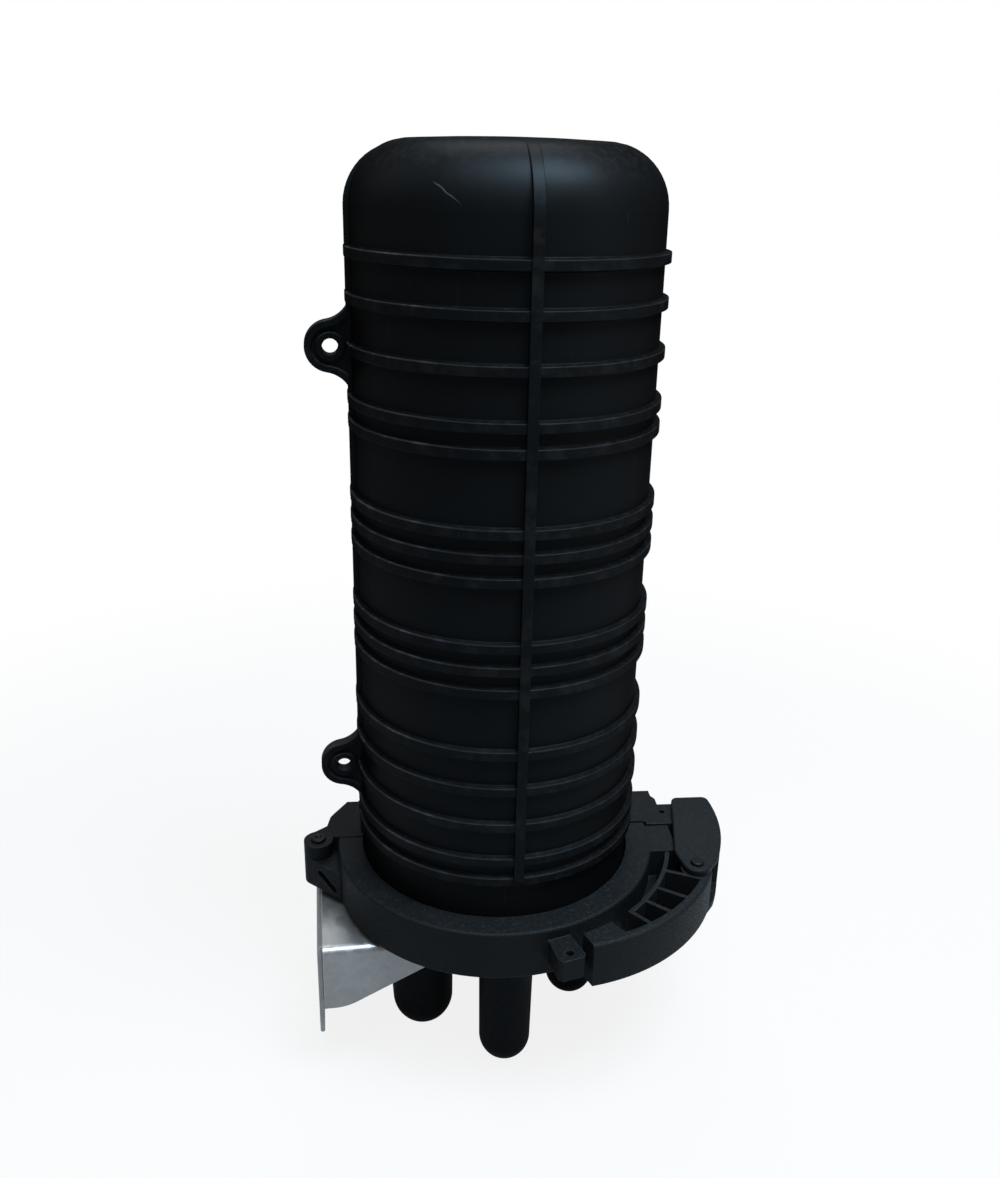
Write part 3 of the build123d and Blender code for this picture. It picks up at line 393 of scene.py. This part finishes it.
def zinc(name, dark, light, crystal):
    finish = Finish(name)
    eased = finish.rounded(0.5)
    edge = finish.edge(eased)
    flakes = finish.cells(crystal, "Red")
    small = finish.cells(crystal * 0.4, "Green")
    rolling = finish.noise(1.4, 3, stretch=(0.05, 1, 1))
    bloom = finish.noise(22, 4)
    tone = flakes * 0.22 + small * 0.1 + bloom * 0.68
    handled = finish.noise(12, 5, rough=0.65).step(0.56, 0.74)
    # Edges, the bend above all, are painted near white: a painted highlight where the light would catch
    # them.
    colour = (edge * 0.7).mix((handled * 0.35).mix(tone.mix(dark, light), ZINC_HANDLED), ZINC_EDGE_HIGHLIGHT)
    relief = finish.bump(flakes * 0.5 + rolling * 0.5, 0.02, eased)
    return finish.close(Base_Color=colour, Metallic=0.8, Roughness=0.32 + flakes * 0.12 + handled * 0.12,
                        Normal=relief)


# %% [markdown]
# Smaller finishes
#
# Pins are blackened steel, fasteners zinc plated, the seal is rubber. The trays inside are pale moulded
# plastic, their rack dark, the cover clear and the strap woven. None of these fills much of the
# picture, so each has only a tone that drifts; all but the cover have a fine relief, and the metals,
# seal, trays and rack have eased edges.


# %% Metal, rubber and the pieces inside
def steel(name, dark, light, rough):
    finish = Finish(name)
    eased = finish.rounded(0.4)
    turning = finish.noise(0.8, 3)
    stain = finish.noise(5, 4)
    colour = (finish.edge(eased) * 0.3).mix(stain.mix(dark, light), grey(0.2))
    return finish.close(Base_Color=colour, Metallic=0.9, Roughness=rough + stain * 0.18,
                        Normal=finish.bump(turning, 0.02, eased))


def soft_plastic(name, dark, light, rough, grain_size):
    finish = Finish(name)
    eased = finish.rounded(0.5)
    clouds = finish.noise(20, 3)
    grain = finish.noise(grain_size, 2)
    return finish.close(Base_Color=clouds.mix(dark, light), Roughness=rough + grain * 0.15,
                        Normal=finish.bump(grain, 0.04, eased))


def clear_plastic(name):
    finish = Finish(name)
    haze = finish.noise(14, 4)
    return finish.close(Base_Color=haze.mix(grey(0.8, 1.04), grey(0.88, 1.03)),
                        Roughness=0.06 + haze * 0.12, Alpha=0.24 + haze * 0.12)


def woven(name, thread):
    finish = Finish(name)
    turns = 2 * pi / (thread * MM)
    over = finish.start.maths("SINE", finish.coordinate("X") * turns)
    under = finish.start.maths("SINE", finish.coordinate("Z") * turns)
    weave = over * under * 0.5 + 0.5
    fuzz = finish.noise(0.5, 3)
    colour = (weave * 0.6 + fuzz * 0.4).mix(grey(0.008), grey(0.035))
    return finish.close(Base_Color=colour, Roughness=0.75 + fuzz * 0.2, Normal=finish.bump(weave, 0.15))


# %% [markdown]
# A finish for every solid
#
# The part's record gives each solid the name of a material slot. One table lists how each slot is made:
# the function above and its colours, roughness and grain. A loop then hands the finishes out, so a new
# solid gets the right one without another line here.

# %% Give every solid its finish
FINISHES = {
    "dome_plastic": (dome_plastic,),
    "base_plastic": (grained_plastic, grey(0.0018, 1.06), grey(0.0032, 1.06), 0.42, 0.058),
    "clamp_plastic": (grained_plastic, grey(0.0026, 1.06), grey(0.0046, 1.08), 0.44, 0.076),
    "latch_plastic": (grained_plastic, grey(0.0032, 1.06), grey(0.0055, 1.08), 0.44, 0.08),
    "pin_steel": (steel, grey(0.003, 1.15), grey(0.008, 1.15), 0.38),
    "seal_rubber": (soft_plastic, grey(0.006), grey(0.014), 0.6, 0.8),
    "galvanised_sheet": (zinc, grey(0.16, 0.98), grey(0.3, 0.96), 5.5),
    "fastener_steel": (steel, grey(0.38, 1.04), grey(0.58, 1.02), 0.28),
    "tray_plastic": (soft_plastic, grey(0.58, 1.01), grey(0.7, 0.99), 0.42, 0.6),
    "rack_plastic": (soft_plastic, grey(0.02, 1.05), grey(0.035, 1.05), 0.46, 0.6),
    "clear_cover": (clear_plastic,),
    "strap_fabric": (woven, 1.2),
}
finishes = {slot: make(slot, *values) for slot, (make, *values) in FINISHES.items()}
for part in frame["record"]["subparts"]:
    mesh = nodes[part["node"]].data
    mesh.materials.clear()
    mesh.materials.append(finishes[part["material_slot"]])
print("finishes:", ", ".join(finishes))

# %% [markdown]
# Shapes that grow along a path
#
# Two kinds of small shape follow a path: pieces in a row, and a moulded section without a break.
# Setting each one by hand would take many lines, so a tree of Geometry Nodes grows them from the path.
# Both trees open and close in the same way and differ only in the middle, which is a function of its
# own. The result is kept as a plain mesh that rides on a body.


# %% Open a tree, grow a mesh from it
SHARP_ANGLE = radians(30)


def path_tree(name, inputs, build):
    """Tree from a path to a mesh, with build for the nodes between, and the keys of its inputs."""
    tree = bpy.data.node_groups.new(name, "GeometryNodeTree")
    kinds = {"Path": "NodeSocketGeometry", **inputs, "Finish": "NodeSocketMaterial"}
    keys = {label: tree.interface.new_socket(label, in_out="INPUT", socket_type=kind).identifier
            for label, kind in kinds.items()}
    tree.interface.new_socket("Mesh", in_out="OUTPUT", socket_type="NodeSocketGeometry")
    start = Tap(tree)
    entry = tree.nodes.new("NodeGroupInput").outputs
    given = {label: Tap(tree, entry[label]) for label in kinds}
    curve = start.node("GeometryNodeMeshToCurve", {"Mesh": given["Path"]})
    whole = start.node("GeometryNodeRealizeInstances", {"Geometry": build(start, curve, given)})
    coloured = start.node("GeometryNodeSetMaterial", {"Geometry": whole, "Material": given["Finish"]})
    start.feed(tree.nodes.new("NodeGroupOutput").inputs["Mesh"], coloured)
    return tree, keys


def grown(name, body, slot, paths, tree_and_keys, values):
    """Plain mesh that a tree grows from open or closed paths of places, riding on a body."""
    tree, keys = tree_and_keys
    path_mesh = bpy.data.meshes.new(name + "_path")
    places, links = [], []
    for path, closed in paths:
        first = len(places)
        places.extend(path)
        links.extend((first + k, first + k + 1) for k in range(len(path) - 1))
        if closed:
            links.append((len(places) - 1, first))
    path_mesh.from_pydata(places, links, [])
    maker = bpy.data.objects.new(name + "_maker", path_mesh)
    scene.collection.objects.link(maker)
    modifier = maker.modifiers.new("grow", "NODES")
    modifier.node_group = tree
    modifier[keys["Finish"]] = finishes[slot]
    for label, value in values.items():
        modifier[keys[label]] = value
    ready = maker.evaluated_get(bpy.context.evaluated_depsgraph_get())
    mesh = bpy.data.meshes.new_from_object(ready)
    mesh.shade_smooth()
    mesh.set_sharp_from_angle(angle=SHARP_ANGLE)
    bpy.data.objects.remove(maker)
    piece = bpy.data.objects.new(name, mesh)
    scene.collection.objects.link(piece)
    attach(piece, body)
    print(name, len(mesh.polygons), "faces")
    return piece


# %% [markdown]
# Small pieces in rows
#
# The trays have tabs that fold in from the rim and keep the fibres down, the strap is sewn down with
# short stitches, and the clamp's underside shows the round marks of the pins that pushed it from its
# mould. Each is one small shape repeated along a path, so one tree makes them all: it samples the path
# at a number of points and sets a block or a disc on each, turned along the path.


# %% A tree that sets small blocks or discs along a path
DISC_SIDES = 20


def small_shapes(start, curve, given):
    """Nodes that set blocks or discs at even steps along a curve."""
    length = start.node("ShaderNodeSeparateXYZ", {"Vector": given["Size"]}, out="X")
    block = start.node("GeometryNodeMeshCube", {"Size": given["Size"]})
    disc = start.node("GeometryNodeMeshCylinder", {"Vertices": DISC_SIDES, "Radius": length * 0.5,
                                                   "Depth": length.sibling("Z")})
    shape = start.node("GeometryNodeSwitch", {"Switch": given["Round"], "False": block, "True": disc},
                       input_type="GEOMETRY")
    spread = start.node("GeometryNodeResampleCurve", {"Curve": curve, "Count": given["Count"]})
    points = start.node("GeometryNodeCurveToPoints", {"Curve": spread}, mode="EVALUATED")
    turned = start.node("FunctionNodeAxesToRotation",
                        {"Primary Axis": given["Facing"], "Secondary Axis": points.sibling("Tangent")},
                        primary_axis="Z", secondary_axis="X")
    return start.node("GeometryNodeInstanceOnPoints",
                      {"Points": points, "Instance": shape, "Rotation": turned})


row_along_path = path_tree("row_along_path", {"Count": "NodeSocketInt", "Size": "NodeSocketVector",
                                              "Facing": "NodeSocketVector", "Round": "NodeSocketBool"},
                           small_shapes)


def row(name, body, slot, paths, count, size, facing, round_shape=False):
    """Rows of one small block or disc along paths of places."""
    return grown(name, body, slot, paths, row_along_path,
                 {"Count": count, "Size": size, "Facing": facing, "Round": round_shape})


# %% Tabs on the trays, stitches on the strap and marks under the clamp
CORNER_STEPS, ARC_STEPS = 6, 40
TRAY_HIGH, TRAY_CORNER, TRAY_COUNT = 276 * MM, 24 * MM, 4
TABS, TAB_SIZE, TAB_INSET, TAB_DEPTH = 14, (9 * MM, 5 * MM, 0.8 * MM), 3.9 * MM, 0.5 * MM
STITCHES, STITCH_SIZE, STITCH_LIFT = 26, (2.0 * MM, 0.6 * MM, 0.5 * MM), 0.1 * MM
SEAM_HALF_WIDE, SEAM_HALF_HIGH = 15 * MM, 8 * MM
MARKS, MARK_SIZE, MARK_RING_R = 7, (6 * MM, 6 * MM, 0.3 * MM), 80.5 * MM
TO_FRONT, DOWN = (0, -1, 0), (0, 0, -1)


def rim_path(node):
    """Closed path just inside a tray's rim, on its open side."""
    low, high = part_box(node)
    middle_x, half_wide = (low.x + high.x) / 2, (high.x - low.x) / 2 - TAB_INSET
    middle_z, half_high = high.z - TRAY_HIGH / 2, TRAY_HIGH / 2 - TAB_INSET
    reach = TRAY_CORNER - TAB_INSET
    path = []
    for quarter, (across, upward) in enumerate(((1, 1), (-1, 1), (-1, -1), (1, -1))):
        for step in range(CORNER_STEPS + 1):
            angle = (quarter + step / CORNER_STEPS) * pi / 2
            path.append((middle_x + across * (half_wide - reach) + reach * cos(angle), low.y + TAB_DEPTH,
                         middle_z + upward * (half_high - reach) + reach * sin(angle)))
    return path, True


def arc_path(radius, height, begin, end):
    """Open arc round the dome's axis at a height, between two angles in degrees."""
    angles = [radians(begin + (end - begin) * step / ARC_STEPS) for step in range(ARC_STEPS + 1)]
    return [(axis_x + radius * cos(angle), radius * sin(angle), height) for angle in angles], False


tray_rims = [rim_path(f"splice_tray_{number + 1}") for number in range(TRAY_COUNT)]
row("tray_tabs", "closure", "tray_plastic", tray_rims, TABS, TAB_SIZE, TO_FRONT)

strap_low, strap_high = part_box("tray_strap")
sewn_z = (strap_low.z + strap_high.z) / 2
seam_corners = [(axis_x + x * SEAM_HALF_WIDE, strap_low.y - STITCH_LIFT, sewn_z + z * SEAM_HALF_HIGH)
                for x, z in ((-1, -1), (1, -1), (1, 1), (-1, 1))]
seams = [(seam_corners, True), (seam_corners[0::2], False), (seam_corners[1::2], False)]
row("strap_stitches", "closure", "seal_rubber", seams, STITCHES, STITCH_SIZE, TO_FRONT)

for name, body, node, begin, end in (("rear_mould_marks", "closure", "clamp_rear_half", 14, 160),
                                     ("front_mould_marks", "front_half", "clamp_front_half", -168, -22)):
    underside = arc_path(MARK_RING_R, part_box(node)[0].z, begin, end)
    row(name, body, "clamp_plastic", [underside], MARKS, MARK_SIZE, DOWN, True)

# %% [markdown]
# Seam and rib ends on the lug side
#
# The mould of the dome parts along the lugs, which leaves a low upright fin there that fades out over
# the shoulder, and the ribs run up to it. Both are one moulded section carried along a path, so a
# second tree sweeps a trapezium: its width lies along a given direction and its height points outward.
# The path keeps the foot of the section just inside the wall.


# %% A tree that sweeps a moulded section
def moulded_strip(start, curve, given):
    """Nodes that sweep a trapezium along a curve, with its width along one direction."""
    steady = start.node("GeometryNodeSetCurveNormal", {"Curve": curve, "Normal": given["Width Along"]},
                        mode="FREE")
    section = start.node("GeometryNodeCurvePrimitiveQuadrilateral",
                         {"Height": given["Height"], "Bottom Width": given["Foot Width"],
                          "Top Width": given["Crest Width"], "Offset": 0.0}, mode="TRAPEZOID")
    return start.node("GeometryNodeCurveToMesh",
                      {"Curve": steady, "Profile Curve": section, "Fill Caps": True})


section_along_path = path_tree("section_along_path",
                               {"Foot Width": "NodeSocketFloat", "Crest Width": "NodeSocketFloat",
                                "Height": "NodeSocketFloat", "Width Along": "NodeSocketVector"},
                               moulded_strip)


def swept(name, body, slot, paths, foot, crest, height, along):
    """One section swept along open paths of places, as one plain mesh on a body."""
    piece = grown(name, body, slot, paths, section_along_path,
                  {"Foot Width": foot, "Crest Width": crest, "Height": height, "Width Along": along})
    radii = [((v.co.x - axis_x) ** 2 + v.co.y ** 2) ** 0.5 for v in piece.data.vertices]
    print(name, "reaches", round(max(radii), 4), "m from the axis")


# %% Fin and rib ends
FOOT_DEPTH = 1.0 * MM
FIN_RISE, FIN_FOOT_WIDE, FIN_CREST_WIDE = 2.3 * MM, 7 * MM, 5.4 * MM
FIN_BOTTOM, FIN_STRIDE, FIN_STRIDES = 22 * MM, 40 * MM, 8
SHOULDER_R, CROWN = 28 * MM, 1.2 * MM
SHOULDER_TURN, SHOULDER_STEPS = radians(78), 12
FIN_SINK, SINK_POWER = FIN_RISE + 1.2 * MM, 1.4
RIB_RISE, RIB_FOOT_WIDE, RIB_CREST_WIDE = 2.75 * MM, 6.3 * MM, 4.3 * MM
RIB_PITCH = 11.3 * MM
RIB_GROUPS = ((35.0, 2), (66.0, 1), (86.0, 1), (105.5, 1), (138.0, 3), (192.5, 3), (251.0, 2), (286.0, 1),
              (308.5, 1), (328.5, 1))
RIB_END_ARCS = ((162.5, 178.0), (182.0, 197.5))


def section_middle(rise):
    """How far outside the wall the middle of a section lies that rises from just inside it."""
    return rise - (rise + FOOT_DEPTH) / 2


def fin_path():
    """Up the wall on the lug side and over the shoulder, sinking in at the top."""
    middle = section_middle(FIN_RISE)
    shoulder_z = dome_high.z - CROWN - SHOULDER_R
    path = [(axis_x - DOME_R - middle, 0, parting_z + FIN_BOTTOM + FIN_STRIDE * step)
            for step in range(FIN_STRIDES + 1)]
    for step in range(SHOULDER_STEPS + 1):
        share = step / SHOULDER_STEPS
        angle = SHOULDER_TURN * share
        reach = SHOULDER_R + middle - FIN_SINK * share ** SINK_POWER
        path.append((axis_x - DOME_R + SHOULDER_R - reach * cos(angle), 0, shoulder_z + reach * sin(angle)))
    return path, False


rib_levels = [parting_z + lowest * MM + RIB_PITCH * number for lowest, count in RIB_GROUPS
              for number in range(count)]
rib_ends = [arc_path(DOME_R + section_middle(RIB_RISE), level, begin, end) for level in rib_levels
            for begin, end in RIB_END_ARCS]
swept("lug_side_fin", "closure", "dome_plastic", [fin_path()], FIN_FOOT_WIDE, FIN_CREST_WIDE,
      FIN_RISE + FOOT_DEPTH, (0, 1, 0))
swept("rib_ends", "closure", "dome_plastic", rib_ends, RIB_FOOT_WIDE, RIB_CREST_WIDE,
      RIB_RISE + FOOT_DEPTH, (0, 0, 1))

# %% [markdown]
# Floor, world and light
#
# The photograph is cut out on white. A white floor and world do the same for the camera, and stay dim
# in reflections, because a black object would otherwise turn grey. Large soft lamps light it: two
# overhead in the blue of daylight, whose reflections run along the dome's shoulder, weak ones from the
# right, the front and the wall's side, and one high behind that draws the ring's far edge. The lamps'
# places are in metres from the dome's foot.


# %% Pale stage and soft lamps
FLOOR_REACH, FLOOR_GREY, FLOOR_IN_GLOSS = 8.0, 0.32, 0.12
NEAR_WHITE, WHITE_STARTS, WHITE_FULL = 0.86, 0.35, 0.8
WORLD_LIGHT, WORLD_IN_GLOSS = 0.22, 0.07
WHITE = grey(1.0)


def ray_kinds(tree):
    """Three taps: 1 for a ray from the camera, for a reflected one, and for one through something clear."""
    path = Tap(tree).node("ShaderNodeLightPath")
    return [path.sibling(kind) for kind in ("Is Camera Ray", "Is Glossy Ray", "Is Transmission Ray")]


def stage_floor():
    """Large floor under the ports, white to the camera but with a shadow near the object."""
    mesh = bpy.data.meshes.new("floor")
    corners = [(axis_x + x * FLOOR_REACH, y * FLOOR_REACH, floor_z)
               for x, y in ((-1, -1), (1, -1), (1, 1), (-1, 1))]
    mesh.from_pydata(corners, [], [(0, 1, 2, 3)])
    floor = bpy.data.objects.new("floor", mesh)
    scene.collection.objects.link(floor)
    finish = Finish("floor_white")
    seen, glossy, through = ray_kinds(finish.tree)
    white = finish.radius().step(WHITE_STARTS, WHITE_FULL) * (1 - NEAR_WHITE) + NEAR_WHITE
    glow = finish.start.node("ShaderNodeEmission", {"Color": WHITE, "Strength": 1.0})
    matt = finish.start.node("ShaderNodeBsdfDiffuse", {"Color": grey(FLOOR_GREY)})
    finish.show(seen.most(through).most(glossy * FLOOR_IN_GLOSS) * white, matt, glow)
    mesh.materials.append(finish.material)


def white_world():
    """White where the camera looks, and a plain soft light elsewhere."""
    world = bpy.data.worlds.new("world")
    world.use_nodes = True
    scene.world = world
    seen, glossy, through = ray_kinds(world.node_tree)
    level = seen.most(through) * (1 - WORLD_LIGHT) + WORLD_LIGHT + glossy * WORLD_IN_GLOSS
    background = world.node_tree.nodes["Background"].inputs
    level.feed(background["Color"], WHITE)
    level.feed(background["Strength"], level)


def soft_lamp(name, place, wide, watts, colour):
    """Square lamp that faces the middle of the dome."""
    light = bpy.data.lights.new(name, "AREA")
    light.size = wide
    light.energy = watts
    light.color = colour
    lamp = bpy.data.objects.new(name, light)
    way = aim_point - place
    lamp.matrix_world = Matrix.Translation(place) @ way.to_track_quat("-Z", "Y").to_matrix().to_4x4()
    scene.collection.objects.link(lamp)


DAYLIGHT, LAMPLIGHT = (0.7, 0.86, 1.0), (0.95, 0.98, 1.0)
AIM_HEIGHT = 0.2
LAMPS = (
    ("key_lamp", (0.4, -0.42, 1.35), 0.6, 46, DAYLIGHT),
    ("top_lamp", (-0.2, -0.52, 1.4), 0.7, 19, DAYLIGHT),
    ("side_lamp", (1.0, -0.7, 0.45), 0.8, 2, LAMPLIGHT),
    ("fill_lamp", (-0.6, -1.2, 0.6), 1.0, 1, LAMPLIGHT),
    ("rim_lamp", (0.1, 0.9, 1.5), 0.8, 14, LAMPLIGHT),
    ("wall_lamp", (-1.2, 0.5, 1.1), 0.8, 2, LAMPLIGHT),
)
scene.view_settings.view_transform = "Standard"
stage_floor()
white_world()
foot = Vector((axis_x, 0, parting_z))
aim_point = foot + Vector((0, 0, AIM_HEIGHT))
for name, from_foot, wide, watts, colour in LAMPS:
    soft_lamp(name, foot + Vector(from_foot), wide, watts, colour)
print(len(LAMPS), "lamps")
